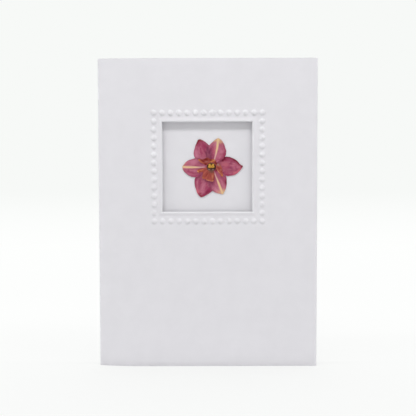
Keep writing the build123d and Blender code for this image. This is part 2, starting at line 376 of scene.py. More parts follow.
def add_object(name, data):
    """Adds an object with that data to the scene."""
    item = bpy.data.objects.new(name, data)
    bpy.context.scene.collection.objects.link(item)
    return item


def grid_faces(rows, columns):
    """Four-sided faces of a grid of points kept row by row, anticlockwise if rows go up and columns right."""
    at = np.arange(rows * columns).reshape(rows, columns)
    return np.stack([at[:-1, :-1], at[:-1, 1:], at[1:, 1:], at[1:, :-1]], -1).reshape(-1, 4)


def skin(front, back, faces):
    """Closed shell of two layers with the same faces: the back is turned over, and open edges get a wall."""
    count = len(front)
    pairs = np.concatenate([faces[:, [i, (i + 1) % 4]] for i in range(4)])
    pairs = pairs[pairs[:, 0] != pairs[:, 1]]
    codes, turned = pairs[:, 0] * count + pairs[:, 1], pairs[:, 1] * count + pairs[:, 0]
    rim = pairs[~np.isin(codes, turned)]
    walls = np.stack([rim[:, 1], rim[:, 0], rim[:, 0] + count, rim[:, 1] + count], -1)
    return np.concatenate([front, back]), np.concatenate([faces, faces[:, ::-1] + count, walls])


def shell(x, front, back, z, order, uv=None, masks=None):
    """Closed surface whose front and back lie on one grid (x, z): its points, faces, UVs and masks.

    The order is 1 where rows go up as columns go right, seen from the front, and -1 the other way round.
    """
    layers = [np.stack(np.broadcast_arrays(x, y, z), -1).reshape(-1, 3) for y in (front, back)]
    points, faces = skin(*layers, grid_faces(*x.shape)[:, ::order])
    uv = None if uv is None else np.tile(np.stack(uv, -1).reshape(-1, 2), (2, 1))
    return points, faces, uv, {kind: np.tile(mask.ravel(), 2) for kind, mask in (masks or {}).items()}


def add_piece(name, surface, material, sharp=60):
    """Makes a smooth mesh object in the shared frame that replaces the CAD node of its name."""
    points, faces, uv, masks = surface
    mesh = bpy.data.meshes.new(name)
    mesh.from_pydata(points, [], faces.tolist())
    if uv is not None:
        corners = np.empty(len(mesh.loops), int)
        mesh.loops.foreach_get("vertex_index", corners)
        mesh.uv_layers.new(name="Along").uv.foreach_set("vector", uv.astype(np.float32)[corners].ravel())
    for kind, mask in masks.items():
        mesh.attributes.new(kind, "FLOAT", "POINT").data.foreach_set("value", mask.astype(np.float32))
    mesh.polygons.foreach_set("use_smooth", np.ones(len(mesh.polygons), bool))
    mesh.set_sharp_from_angle(angle=radians(sharp))
    mesh.validate()
    mesh.materials.append(material)
    piece = add_object("dressed_" + name, mesh)
    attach(piece, BODY)
    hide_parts(name)


# Nodes

def add_node(tree, kind, inputs=None, **settings):
    """Adds a node, applies its settings, and fills its inputs from values or from other nodes' outputs."""
    node = tree.nodes.new(kind)
    for key, value in settings.items():
        setattr(node, key, value)
    for key, value in (inputs or {}).items():
        if isinstance(value, bpy.types.NodeSocket):
            tree.links.new(value, node.inputs[key])
        else:
            node.inputs[key].default_value = value
    return node


def new_material(name, roughness, specular=0.5, ior=1.5):
    """New node material whose Principled shader has those values: the material and its tree."""
    material = bpy.data.materials.new(name)
    material.use_nodes = True
    shader = material.node_tree.nodes["Principled BSDF"]
    for key, value in (("Roughness", roughness), ("Specular IOR Level", specular), ("IOR", ior)):
        shader.inputs[key].default_value = value
    return material, material.node_tree


def mottle(tree, size, detail, low, high, most=1.0, place=None):
    """Irregular pattern with features of that size: its height, and a soft step of it up to the most.

    It lies on Object coordinates unless it is given another place.
    """
    if place is None:
        place = add_node(tree, "ShaderNodeTexCoord").outputs["Object"]
    inputs = {"Vector": place, "Scale": 1 / size, "Detail": detail, "Roughness": 0.6}
    height = add_node(tree, "ShaderNodeTexNoise", inputs).outputs["Fac"]
    step = {"Value": height, "From Min": low, "From Max": high, "To Max": most}
    return height, add_node(tree, "ShaderNodeMapRange", step, interpolation_type="SMOOTHSTEP").outputs[0]


def streaks(tree, along, across, detail, low, high, most=1.0):
    """Mottle on the piece's own UV map, with that many features to its length and to its width."""
    place = add_node(tree, "ShaderNodeUVMap", uv_map="Along").outputs[0]
    place = add_node(tree, "ShaderNodeMapping", {"Vector": place, "Scale": (along, across, 1)}).outputs[0]
    return mottle(tree, 1, detail, low, high, most, place)


def painted(tree, kinds, colours, finish):
    """Coats of colour for the piece's own masks: each mask's amount, and the colour of that finish."""
    masks = [add_node(tree, "ShaderNodeAttribute", attribute_name=kind).outputs["Fac"] for kind in kinds]
    return [(mask, getattr(colours, finish + kind)) for mask, kind in zip(masks, kinds)]


def lay(tree, base, coats):
    """Lays coats, each an amount and a colour, over a base colour, and gives the colour that shows."""
    for amount, coat in coats:
        base = add_node(tree, "ShaderNodeMix", {0: amount, 6: base, 7: coat}, data_type="RGBA").outputs[2]
    return base


def dress(material, base, coats, height, strength, depth):
    """Gives a material a base colour with coats over it, and a surface raised by a height."""
    tree = material.node_tree
    shader = tree.nodes["Principled BSDF"]
    tree.links.new(lay(tree, base, coats), shader.inputs["Base Color"])
    relief = add_node(tree, "ShaderNodeBump", {"Height": height, "Strength": strength, "Distance": depth})
    tree.links.new(relief.outputs[0], shader.inputs["Normal"])
    return material


# Materials

def card_stock(colours):
    """Uncoated 300 g card, calendered: matt, cool white, with faint clouding and a fine fibre grain.

    The fibres, 0.03 mm wide in real card, are drawn at 0.45 mm, so that their grain shows.
    """
    material, tree = new_material("Uncoated white card", 0.88, 0.3)
    clouds = mottle(tree, 9 * MM, 2, 0.3, 0.7)[1]
    fibres = mottle(tree, 0.45 * MM, 4, 0, 1)[0]
    return dress(material, colours.card, [(clouds, colours.card_shade)], fibres, 0.25, 0.02 * MM)


def foam_tape(colours):
    """Closed-cell foam tape, slit: dull white, with cells of 0.22 mm open on its cut sides."""
    material, tree = new_material("White foam tape", 0.95)
    place = add_node(tree, "ShaderNodeTexCoord").outputs["Object"]
    cells = add_node(tree, "ShaderNodeTexVoronoi", {"Vector": place, "Scale": 1 / (0.22 * MM)})
    cells = cells.outputs["Distance"]
    # The open cells are darker towards their middles: painted shade in their hollows
    return dress(material, colours.foam_cell_shade, [(cells, colours.foam)], cells, 0.6, 0.05 * MM)


def dried_glue(colours):
    """Dried clear glue, pooled by hand: glossy, slightly yellow, with a gentle ripple."""
    material, tree = new_material("Dried clear glue", 0.25, ior=1.48)
    ripple, thick = mottle(tree, 1.2 * MM, 1, 0.3, 0.7)
    return dress(material, colours.glue, [(thick, colours.glue_edge)], ripple, 0.4, 0.03 * MM)


def dried_petal(colours, name, striped):
    """Air-dried petal, pressed flat: matt, papery, with veins 0.7 mm apart, deeper margins and uneven dye."""
    material, tree = new_material(name, 0.65, 0.15)
    veins, vein_dye = streaks(tree, 2.2, 12, 4, 0.48, 0.66, 0.65)
    coats = [
        (streaks(tree, 1.5, 6, 3, 0.44, 0.62, 0.7)[1], colours.petal_pale),
        (mottle(tree, 1.6 * MM, 3, 0.49, 0.66, 0.6)[1], colours.petal_deep),
        (vein_dye, colours.petal_vein),
    ]
    coats += painted(tree, PETAL_COATS + (STRIPE_COATS if striped else ()), colours, "petal_")
    return dress(material, colours.petal, coats, veins, 0.5, 0.03 * MM)


def dried_trumpet(colours):
    """Dried trumpet tissue, torn and pressed: rust, softly pleated, with orange lobes and papery patches.

    Its pleats hold painted shade, and on the right piece the papery patches are partly painted highlights.
    """
    material, tree = new_material("Dried rust trumpet", 0.6, 0.2)
    pleats, streak_coat = streaks(tree, 1.2, 12, 4, 0.42, 0.72, 0.45)
    # Both coats of the fold colour are painted shade: in streaks along the pleats, and in the pleats' hollows
    coats = [(streak_coat, colours.trumpet_fold)] + painted(tree, ("fold",) + TRUMPET_COATS, colours, "trumpet_")
    return dress(material, colours.trumpet, coats, pleats, 0.5, 0.04 * MM)


def dried_throat(colours):
    """Dried floor of the trumpet: grey-brown and streaked, and nearly black in the shade of its wall."""
    material, tree = new_material("Dried dark throat", 0.7, 0.2)
    wrinkles, streak_coat = streaks(tree, 1.2, 18, 3, 0.4, 0.65, 0.5)
    coats = [(streak_coat, colours.throat_shade)] + painted(tree, THROAT_COATS, colours, "throat_")
    return dress(material, colours.throat, coats, wrinkles, 0.5, 0.03 * MM)


def dried_anthers(colours):
    """Dried anthers dusted with pollen: warm yellow, grainy, and painted shade where the lobes meet.

    The grains, 0.04 mm across in real pollen, are drawn at 0.12 mm, so that they show from near by.
    """
    material, tree = new_material("Dried yellow anthers", 0.85)
    grains, browner = mottle(tree, 0.12 * MM, 3, 0.45, 0.75, 0.7)
    coats = [(browner, colours.anther_shade)] + painted(tree, ("cleft_shade",), colours, "anther_")
    return dress(material, colours.anther, coats, grains, 0.7, 0.05 * MM)


# Sizes and colours that a user would change

def length(name, description, millimetres):
    """A length property, given in millimetres."""
    return FloatProperty(name=name, description=description, default=millimetres * MM, min=0, unit="LENGTH")


def angle(name, description, degrees):
    """An angle property, given in degrees."""
    return FloatProperty(name=name, description=description, default=radians(degrees), subtype="ANGLE")


def scalar(name, description, value, least=0):
    """A property for a number that has no length, angle or colour, no less than the least."""
    return FloatProperty(name=name, description=description, default=value, min=least)


def whole(name, description, value, least):
    """A property for a whole number, no less than the least."""
    return IntProperty(name=name, description=description, default=value, min=least)


def colour(name, description, code):
    """A colour property, given as an sRGB hex code."""
    return FloatVectorProperty(
        name=name, description=description, default=linear(code), size=4, min=0, max=1, subtype="COLOR"
    )


class FLOWERCARD_PG_sheet(bpy.types.PropertyGroup):
    """The folded sheet."""

    stock: length("Stock", "Thickness of the card", 0.35)
    stand_angle: angle("Stand angle", "Between the flat parts of the front and the back", 30)
    bow_from_beads: length("Bow from beads", "From the bead border to where the front starts to bow", 1.0)
    bow_angle: angle("Bow angle", "Turn of the gentle bow of each panel", 9.2)
    shoulder_radius: length("Shoulder radius", "Radius of the tighter bow beside the crease", 36)
    shoulder_angle: angle("Shoulder angle", "Turn of the tighter bow", 9.8)
    crease_radius: length("Crease radius", "Radius of the spine's crease", 0.5)
    tape: length("Tape", "Thickness of the tape between the front and the flap", 1.5)
    window: length("Window", "Side of the square window", 42.9)
    ridge_width: length("Ridge width", "From the cut edge to where the ridge leaves the panel", 1.8)
    ridge_foot: length("Ridge foot", "Soft foot of the ridge beyond its width", 0.45)
    ridge_rise: length("Ridge rise", "Height of the pressed ridge", 0.24)
    ridge_start: length("Ridge start", "How far before the cut edge the ridge would start to climb", 0.15)
    crest_from_edge: length("Crest from edge", "From the cut edge to the ridge's crest", 0.5)
    lip_rise: length("Lip rise", "Height of the cut edge before the panel", 0.02)
    beads_from_edge: length("Beads from edge", "From the cut edge to the middle of the bead border", 4.4)
    beads_right: length("Border right", "How far right of the window's middle the border is pressed", 0.35)
    beads_down: length("Border down", "How far below the window's middle the border is pressed", 0.15)
    bead_diameter: length("Bead diameter", "Across a pressed bead", 2.85)
    bead_rise: length("Bead rise", "Height of a pressed bead", 0.44)
    bead_flatness: scalar("Bead flatness", "2 is a round dome, and more is flatter on top", 2.5, 2)
    beads_per_side: whole("Beads per side", "Beads on each side, corners included", 14, 2)
    cells_per_bead: whole("Cells per bead", "Mesh cells from one bead to the next", 13, 4)


class FLOWERCARD_PG_flower(bpy.types.PropertyGroup):
    """The pressed flower."""

    petal_thickness: length("Petal thickness", "Thickness of a dried petal", 0.09)
    petal_gap: length("Petal gap", "Air between the outer and the inner petals", 0.03)
    petal_sag: scalar("Petal sag", "How far a petal's free part sinks, as a share of the glue's depth", 0.75)
    bowl_radius: length("Bowl radius", "Radius of the dish that the petals lie in", 1200)
    ragged: scalar("Ragged margins", "How far the margins stray, as a share of their reach", 0.02)
    crinkle: length("Crinkle", "Height of the crinkles in a petal", 0.035)
    vein: length("Vein", "Height of a petal's veins", 0.006)
    groove: length("Groove", "Depth of the groove along a petal's axis", 0.03)
    lift: length("Edge lift", "How far a petal's free margin curls up", 0.07)
    trumpet_thickness: length("Trumpet thickness", "Thickness of the trumpet's wall", 0.10)
    pleat: length("Pleat", "Height of the trumpet's pleats", 0.17)
    frill: length("Frill", "Height of the frill at the trumpet's rim", 0.04)
    wrinkle: length("Wrinkle", "Height of the fine wrinkles in the trumpet and the throat", 0.02)
    throat_floor: length("Throat floor", "Thickness of the throat's floor", 0.12)
    throat_rim: length("Throat rim", "How far the throat's rim is rounded off", 0.05)
    pollen: length("Pollen", "Height of the grains on the anthers", 0.03)
    stripe: length("Stripe", "Width of the cream stripe near the tip of an inner petal", 0.92)


class FLOWERCARD_PG_colours(bpy.types.PropertyGroup):
    """The colours of every finish."""

    card: colour("Card", "White card", "E9E8EC")
    card_shade: colour("Card cloud", "Clouding in the card", "E7E6EA")
    foam: colour("Foam", "Foam tape", "EDEDEA")
    # Painted shade in the foam's open cells
    foam_cell_shade: colour("Foam cells", "Open cells in the foam", "C9C9C4")
    glue: colour("Glue", "Dried glue", "D9D3C0")
    glue_edge: colour("Glue edge", "Thicker dried glue", "C8BD9E")
    petal: colour("Petal", "Mauve of the petals", "AE5B70")
    petal_pale: colour("Petal pale", "Faded streaks and margins", "C77A90")
    petal_deep: colour("Petal deep", "Stronger dye", "983056")
    petal_vein: colour("Petal vein", "Fine veins", "8C3A5A")
    petal_purple: colour("Petal purple", "Where two petals lie on each other", "752E4C")
    petal_coral: colour("Petal coral", "Reddish patches near the margins", "CB6B78")
    petal_wine: colour("Petal wine", "Dark curled margins", "720A2C")
    petal_dark: colour("Petal dark", "Dried brown-red tips", "7E1C24")
    petal_stripe: colour("Petal stripe", "Start of the stripe, near the throat", "DDB2AC")
    petal_cream: colour("Petal cream", "Stripes and tips of the inner petals", "E9C792")
    trumpet: colour("Trumpet", "Rust tissue", "B0554A")
    # Painted shade in the trumpet's pleats
    trumpet_fold: colour("Trumpet folds", "Shaded pleats", "8E3A32")
    trumpet_dark: colour("Trumpet dark", "Dark red folds", "6C0A0C")
    trumpet_orange: colour("Trumpet orange", "Curled orange lobes", "CE8246")
    trumpet_brown: colour("Trumpet brown", "Where the throat runs out on the trumpet", "70463C")
    # The clear patches are papery, and on the right trumpet piece partly painted highlights
    trumpet_clear: colour("Trumpet clear", "Thin papery patches", "A97E76")
    trumpet_pale: colour("Trumpet pale", "Light torn edges", "D6916A")
    throat: colour("Throat", "Floor of the throat", "724E46")
    throat_shade: colour("Throat shade", "Brown wrinkles", "55342E")
    throat_rust: colour("Throat rust", "Where the trumpet starts", "96503F")
    throat_clear: colour("Throat spots", "Light papery spots", "B1918A")
    throat_dark: colour("Throat dark", "Shade of the wall", "280705")
    anther: colour("Anthers", "Pollen yellow", "D49E3A")
    anther_shade: colour("Anther shade", "Browner pollen", "A86C22")
    # Painted shade in the clefts between the anther lobes
    anther_cleft_shade: colour("Anther cleft_shade", "Brown clefts", "40200F")


class FLOWERCARD_PG_studio(bpy.types.PropertyGroup):
    """The light, the floor and the camera."""

    key_strength: scalar("Key", "Watts of the overhead light", 2.85)
    key_elevation: angle("Key elevation", "Height of the overhead light above the horizon", 66)
    key_distance: length("Key distance", "From the card's middle to the overhead light", 600)
    key_width: length("Key width", "Of the overhead light's strip", 900)
    key_depth: length("Key depth", "Of the overhead light's strip", 90)
    side_strength: scalar("Sides", "Watts of each side light", 2.2)
    side_turn: angle("Side turn", "How far each side light stands round from the front", 80)
    side_distance: length("Side distance", "From the card's middle to a side light or the rear light", 1000)
    side_rise: angle("Side rise", "Height of the side and rear lights above the horizon", 17)
    side_width: length("Side width", "Of the side and rear lights' panels", 400)
    side_height: length("Side height", "Of the side and rear lights' panels", 1000)
    rear_strength: scalar("Rear", "Watts of the light behind the card", 2.1)
    sky: scalar("Sky", "Strength of the room's light", 0.362)
    floor_size: length("Floor size", "Side of the square floor", 6000)
    floor: colour("Floor", "Paper floor as the card sees it", "F0F0F0")
    backdrop: colour("Backdrop", "Background, and the floor's far end, as the camera sees them", "F7F9F7")
    floor_lit: colour("Lit floor", "Floor behind the card as the camera sees it", "FEFFFE")
    floor_near: colour("Near floor", "Floor in front of the card as the camera sees it", "F8F9F8")
    # Painted shade of the floor at the card's foot
    floor_foot_shade: colour("Foot", "Floor that the card shuts off from half the room", "E9EAE9")
    foot_reach: length("Foot reach", "How far the card darkens the floor at its foot", 100)
    # Painted contact shadow on the floor, as the card sees it
    contact_shade: colour("Contact", "Floor under the card's edge as the card sees it", "7C7C7C")
    contact_reach: length("Contact reach", "How far the card's edge darkens the floor that it sees", 7)
    camera_distance: length("Camera distance", "From the camera to the front panel's plane", 478.2)
    camera_height: length("Camera height", "Of the camera above the floor", 108.5)
    camera_right: length("Camera right", "Of the camera from the middle of the card", 0.39)
    camera_pitch: angle("Camera pitch", "How far the camera looks down", 3.807)
    camera_yaw: angle("Camera yaw", "How far the camera turns to the left", 0.035)
    camera_roll: angle("Camera roll", "How far the camera tips to its right", -0.128)
    lens: scalar("Lens", "Focal length in millimetres", 86.54, 1)
    sensor: scalar("Sensor", "Width of the camera's sensor in millimetres", 36, 1)


# The folded sheet

def follow(distance, heading, runs):
    """Walks a plan line from the origin through runs of (length, turn), where a turn bends a run into an arc.

    Returns the points and the headings at the distances: on a straight run the point moves along the heading,
    and on an arc of curvature k it moves by the integral of the turning heading.
    """
    distance = np.asarray(distance, float)
    x, y, turned = np.zeros_like(distance), np.zeros_like(distance), np.full_like(distance, heading)
    for size, turn in runs:
        step = np.clip(distance, 0, size)
        k = turn / size
        if turn:
            x += (np.sin(heading + k * step) - sin(heading)) / k
            y -= (np.cos(heading + k * step) - cos(heading)) / k
        else:
            x += cos(heading) * step
            y += sin(heading) * step
        turned += k * step
        heading += turn
        distance = distance - size
    return np.stack([x, y], -1), turned


class FoldedSheet:
    """Sizes of the card that follow from the frame and the sheet's own sizes, and its plan line."""

    def __init__(self, sheet):
        low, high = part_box("card")
        self.height = high.z - low.z
        width = 2 * min(-low.x, high.x)
        self.window_x = (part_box("tape_left")[1].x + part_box("tape_right")[0].x) / 2
        self.window_z = (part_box("tape_bottom")[1].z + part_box("tape_top")[0].z) / 2
        self.border_x, self.border_z = self.window_x + sheet.beads_right, self.window_z - sheet.beads_down
        self.bead_half = sheet.window / 2 + sheet.beads_from_edge
        pitch = sheet.stock + sheet.tape
        fold = pitch / 2
        self.flat_right = width / 2 - fold - sheet.stock / 2
        self.flat_left = self.bead_half + sheet.bead_diameter / 2 + sheet.bow_from_beads - self.border_x
        lean = sheet.bow_angle + sheet.shoulder_angle
        crease_turn = pi - sheet.stand_angle - 2 * lean
        shoulder_reach = sheet.shoulder_radius * (sin(lean) - sin(sheet.bow_angle))
        shoulder_reach += sheet.crease_radius * (1 - sin(lean))
        bow_radius = (width / 2 - sheet.stock / 2 - self.flat_left - shoulder_reach) / sin(sheet.bow_angle)
        bow = (bow_radius * sheet.bow_angle, -sheet.bow_angle)
        shoulder = (sheet.shoulder_radius * sheet.shoulder_angle, -sheet.shoulder_angle)
        crease = (sheet.crease_radius * crease_turn, -crease_turn)
        back = width - bow[0] - shoulder[0] - crease[0] / 2
        self.to_left = [(self.flat_left, 0), bow, shoulder, crease, shoulder, bow, (back, 0)]
        flap_bow = ((bow_radius - pitch) * sheet.bow_angle, -sheet.bow_angle)
        flap_flat = self.flat_right + self.flat_left
        self.to_right = [(self.flat_right, 0), (pi * fold, pi), (flap_flat, 0), flap_bow]
        self.crease_start = -(self.flat_left + bow[0] + shoulder[0])

    def place(self, s, raised):
        """Points in plan at the developed distance s from the middle, raised off the sheet's outer side."""
        left, left_heading = follow(-s, pi, self.to_left)
        right, right_heading = follow(s, 0, self.to_right)
        on_left = s < 0
        point = np.where(on_left[:, None], left, right)
        heading = np.where(on_left, left_heading + pi, right_heading)
        outwards = np.stack([np.sin(heading), -np.cos(heading)], -1)
        return point + outwards * raised[:, None]


def divide(stops, cells):
    """Values from the first stop to the last, where each gap is divided into its number of cells."""
    gaps = [np.linspace(a, b, n, endpoint=False) for a, b, n in zip(stops, stops[1:], cells)]
    return np.concatenate(gaps + [stops[-1:]])


def spread(runs, cells):
    """Distances along runs, each divided into its number of cells."""
    return divide(np.cumsum([0] + [size for size, turn in runs]), cells)


def pressed_height(sheet, folded, s, z):
    """Height of the pressing over the flat panel: the mitred ridge, and a flat-topped dome for each bead.

    The ridge depends on the larger of the two distances from the window's middle. It climbs by a cubic step
    from the lip to the crest and falls by another to the panel. A bead is a flattened paraboloid.
    """
    out = np.maximum(abs(s - folded.window_x), abs(z - folded.window_z)) - sheet.window / 2
    climb = smooth(out, -sheet.ridge_start, sheet.crest_from_edge)
    fall = 1 - smooth(out, sheet.crest_from_edge, sheet.ridge_width + sheet.ridge_foot)
    ridge = (sheet.lip_rise + (sheet.ridge_rise - sheet.lip_rise) * climb) * fall
    last = sheet.beads_per_side - 1
    pitch = 2 * folded.bead_half / last
    right, up = s - folded.border_x + folded.bead_half, z - folded.border_z + folded.bead_half
    i, j = np.clip(np.round(right / pitch), 0, last), np.clip(np.round(up / pitch), 0, last)
    in_border = (i == 0) | (i == last) | (j == 0) | (j == last)
    away = np.hypot(right - i * pitch, up - j * pitch) / (sheet.bead_diameter / 2)
    return ridge + np.where(in_border, sheet.bead_rise * (1 - np.minimum(away, 1) ** sheet.bead_flatness), 0)


def sheet_layout(sheet, folded):
    """The flat sheet's mesh, before it is folded: points (s, z) and their faces.

    The front panel is rings of points round the window, square near it and stretched to the panel's outline
    further out, in wider and wider steps. The back panel and the flap are plain grids that share their first
    column with the panel.
    """
    half, side = sheet.window / 2, (sheet.beads_per_side - 1) * sheet.cells_per_bead
    foot, bead = half + sheet.ridge_width + sheet.ridge_foot, sheet.bead_diameter / 2
    clear = 0.6 * MM
    border = folded.bead_half
    size = divide((half, foot, border - bead, border + bead, border + bead + clear), RING_CELLS)
    middle_x = np.where(size > foot, folded.border_x, folded.window_x)
    middle_z = np.where(size > foot, folded.border_z, folded.window_z)
    square = np.stack([middle_x - size, middle_x + size, middle_z - size, middle_z + size], -1)
    panel = np.array([folded.crease_start, folded.flat_right, 0, folded.height])
    share = (np.arange(1, OUTER_RINGS + 1) / OUTER_RINGS)[:, None] ** OUTER_WIDENING
    bounds = np.concatenate([square, square[-1] * (1 - share) + panel * share])
    left, right, bottom, top = bounds.T[:, :, None]
    t = np.linspace(0, 1, side, endpoint=False)
    wide, high = right - left, top - bottom
    s = np.concatenate([left + wide * t, right + 0 * t, right - wide * t, left + 0 * t], 1)
    z = np.concatenate([bottom + 0 * t, bottom + high * t, top + 0 * t, top - high * t], 1)
    at = np.arange(s.size).reshape(s.shape)
    after = np.roll(at, -1, 1)
    points = [np.stack([s.ravel(), z.ravel()], -1)]
    faces = [np.stack([at[:-1], at[1:], after[1:], after[:-1]], -1).reshape(-1, 4)]
    to_left = -spread(folded.to_left[3:], BACK_CELLS)[::-1] + folded.crease_start
    to_right = spread(folded.to_right[1:], FLAP_CELLS) + folded.flat_right
    for columns in (to_left, to_right):
        s, z = np.meshgrid(columns, np.linspace(0, folded.height, side + 1))
        faces.append(grid_faces(*s.shape) + sum(len(p) for p in points))
        points.append(np.stack([s.ravel(), z.ravel()], -1))
    # Points that coincide, to 0.0001 mm, become one
    points, faces = np.concatenate(points), np.concatenate(faces)
    rounded = np.round(points / MM, 4)
    first, merged = np.unique(rounded, axis=0, return_index=True, return_inverse=True)[1:]
    return points[first], merged.ravel()[faces]


class FLOWERCARD_OT_sheet(bpy.types.Operator):
    """Fold the card sheet, with its window, ridge and beads"""

    bl_idname = "flowercard.sheet"
    bl_label = "Card sheet"

    def execute(self, context):
        sheet = context.scene.card_sheet
        folded = FoldedSheet(sheet)
        layout, faces = sheet_layout(sheet, folded)
        s, z = layout.T
        on_front = (s > folded.crease_start) & (s < folded.flat_right)
        raised = np.where(on_front, pressed_height(sheet, folded, s, z), 0)
        plans = [folded.place(s, raised + side * sheet.stock / 2) for side in (1, -1)]
        layers = [np.stack([plan[:, 0], plan[:, 1], z], -1) for plan in plans]
        surface = (*skin(*layers, faces), None, {})
        add_piece("card", surface, card_stock(context.scene.card_colours), sharp=40)
        return {"FINISHED"}


class FLOWERCARD_OT_mounting(bpy.types.Operator):
    """Give the tape and the glue behind the window their finishes"""

    bl_idname = "flowercard.mounting"
    bl_label = "Tape and glue"

    def execute(self, context):
        colours = context.scene.card_colours
        tape, glue = foam_tape(colours), dried_glue(colours)
        for name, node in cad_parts.items():
            if name.startswith("tape_") or name == "glue_dab":
                for slot in node.material_slots:
                    slot.material = glue if name == "glue_dab" else tape
        return {"FINISHED"}


# The flower

def flower_centre():
    """The flower's centre in the shared frame, as (right, up), which is the middle of the glue under it."""
    low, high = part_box("glue_dab")
    return (low.x + high.x) / 2, (low.z + high.z) / 2


def leaf(x, y, z, thickness, uv, masks):
    """Thin closed surface of one thickness about a middle layer that is given from the flower's centre."""
    centre_x, centre_z = flower_centre()
    return shell(x + centre_x, y - thickness / 2, y + thickness / 2, z + centre_z, -1, uv, masks)


def outline(petal, along):
    """Half-widths of a petal on the left and on the right of its axis, in metres, at shares of its length."""
    return [curve_through(along, PETAL_STATIONS, side) * MM for side in (petal.left, petal.right)]


def inside(petal, x, z):
    """How far points (x, z) from the flower's centre lie inside a petal's outline, or below 0 outside it."""
    turn = radians(petal.turn)
    along, across = x * cos(turn) + z * sin(turn), z * cos(turn) - x * sin(turn)
    share = along / (petal.length * MM)
    left, right = outline(petal, np.clip(share, PETAL_STATIONS[0], 1))
    room = np.where(across > 0, left, right) - abs(across)
    return np.where((share > 0) & (share < 1), room, -MM)


def petal_surface(flower, petal, depth, drop, below, above, seed):
    """A dried petal: rows of points along its axis and across it, between the two half-width curves.

    Its middle layer lies on a wide dish, and sinks by the drop where no petal lies below it. Smooth crinkles,
    veins that fan out from the base, and a curl at the free margins raise it, and a groove along the axis
    lowers it. All but the veins die away where a petal lies above it.
    """
    start = PETAL_STATIONS[0]
    rows = start + (1 - start) * (1 - (1 - np.linspace(0, 1, PETAL_CELLS[0] + 1)) ** TIP_CROWDING)
    columns = np.sin(np.linspace(-pi / 2, pi / 2, PETAL_CELLS[1] + 1))
    along, across = np.meshgrid(rows, columns, indexing="ij")
    left, right = outline(petal, along)
    a = along * petal.length * MM
    # Each side's margin strays along a line of its own through the noise
    ragged = 1 + flower.ragged * value_noise(a, np.sign(across) * 9 * MM, 0.8 * MM, seed)
    b = np.where(across > 0, left, right) * across * ragged
    turn = radians(petal.turn)
    x, z = a * cos(turn) - b * sin(turn), a * sin(turn) + b * cos(turn)

    def uneven(size, number):
        """Noise on the petal, with features of that size in millimetres."""
        return value_noise(a, b, size * MM, seed + number)

    def overlap(petals, outer, inner):
        """1 where other petals lie, with a soft step between two distances inside their outlines."""
        return np.max([0 * x] + [smooth(inside(other, x, z), outer * MM, inner * MM) for other in petals], 0)

    sunk = drop * (1 - overlap(below, -0.7, 0)) * smooth(along, 0.22, 0.55)
    free = 1 - overlap(above, -0.1, 0.5)
    lift_left, lift_right, lift_tip = petal.lift
    near_edge = smooth(abs(across) + 0.06 * uneven(0.9, 1), 0.80, 1.0)
    curl = near_edge * smooth(along, 0.2, 0.45) * (0.45 + np.where(across > 0, lift_left, lift_right))
    curl = curl + 0.5 * smooth(along, 0.86, 0.97) * lift_tip
    crinkle = uneven(2.4, 3) + 0.5 * uneven(1.1, 4)
    veins = np.sin(across * VEIN_PHASE + 1.5 * uneven(3, 5)) * (1 - near_edge)
    groove = np.exp(-((across / GROOVE_WIDTH) ** 2)) * free
    relief = free * (flower.crinkle * crinkle + flower.lift * curl)
    relief = relief + flower.vein * veins - flower.groove * groove
    dish = (0.5 + 0.5 * lift_tip) * (x**2 + z**2) / (2 * flower.bowl_radius)
    y = depth + sunk - dish - relief

    width = flower.stripe * (0.55 + 0.45 * smooth(along, 0.30, 0.80)) / 2
    middle = petal.bend * MM * (1 - along**4) + 0.08 * MM * value_noise(a, 0 * a, 3 * MM, seed + 6)
    stripe = (1 - smooth(abs(b - middle) / width, 0.0, 1.7)) * smooth(along, 0.17, 0.30)
    stained_at = along + 0.035 * uneven(1.3, 7), across + 0.12 * uneven(1.6, 8)
    masks = spotted(petal.stains, PETAL_COATS + ("cream",), *stained_at)
    shaded = 0.85 * overlap(below, -0.1, 1.6) * (0.75 + 0.25 * uneven(1.5, 9))
    masks["deep"] = np.maximum(masks["deep"], 0.12 * smooth(abs(across), 0.86, 1.0))
    masks["purple"] = np.maximum(masks["purple"], shaded)
    masks["cream"] = np.maximum(masks["cream"], stripe * smooth(along, 0.30, 0.62))
    masks["stripe"] = stripe
    return leaf(x, y, z, flower.petal_thickness, (along, across / 2 + 0.5), masks)


def add_petals(flower, petals, depth, drop, below, above, material):
    """Adds a ring of petals at one depth, whose free parts drop, between the petals below and above."""
    for number, (name, petal) in enumerate(petals.items()):
        seed = 10 * len(name) + number
        surface = petal_surface(flower, petal, depth, drop, below, above, seed)
        add_piece(name, surface, material)


class FLOWERCARD_OT_petals(bpy.types.Operator):
    """Lay the three outer petals, and the three striped petals on them"""

    bl_idname = "flowercard.petals"
    bl_label = "Petals"

    def execute(self, context):
        colours, flower = context.scene.card_colours, context.scene.card_flower
        outer, inner = list(OUTER_PETALS.values()), list(INNER_PETALS.values())
        glue_front, glue_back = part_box("glue_dab")[0].y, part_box("glue_dab")[1].y
        glue = glue_back - glue_front
        middle, step, sag = glue_front - glue / 2, glue + flower.petal_gap, flower.petal_sag * glue
        mauve = dried_petal(colours, "Dried mauve petal", striped=False)
        striped = dried_petal(colours, "Dried striped petal", striped=True)
        add_petals(flower, OUTER_PETALS, middle, sag, [], inner, mauve)
        add_petals(flower, INNER_PETALS, middle - step, step + sag, outer, [], striped)
        return {"FINISHED"}


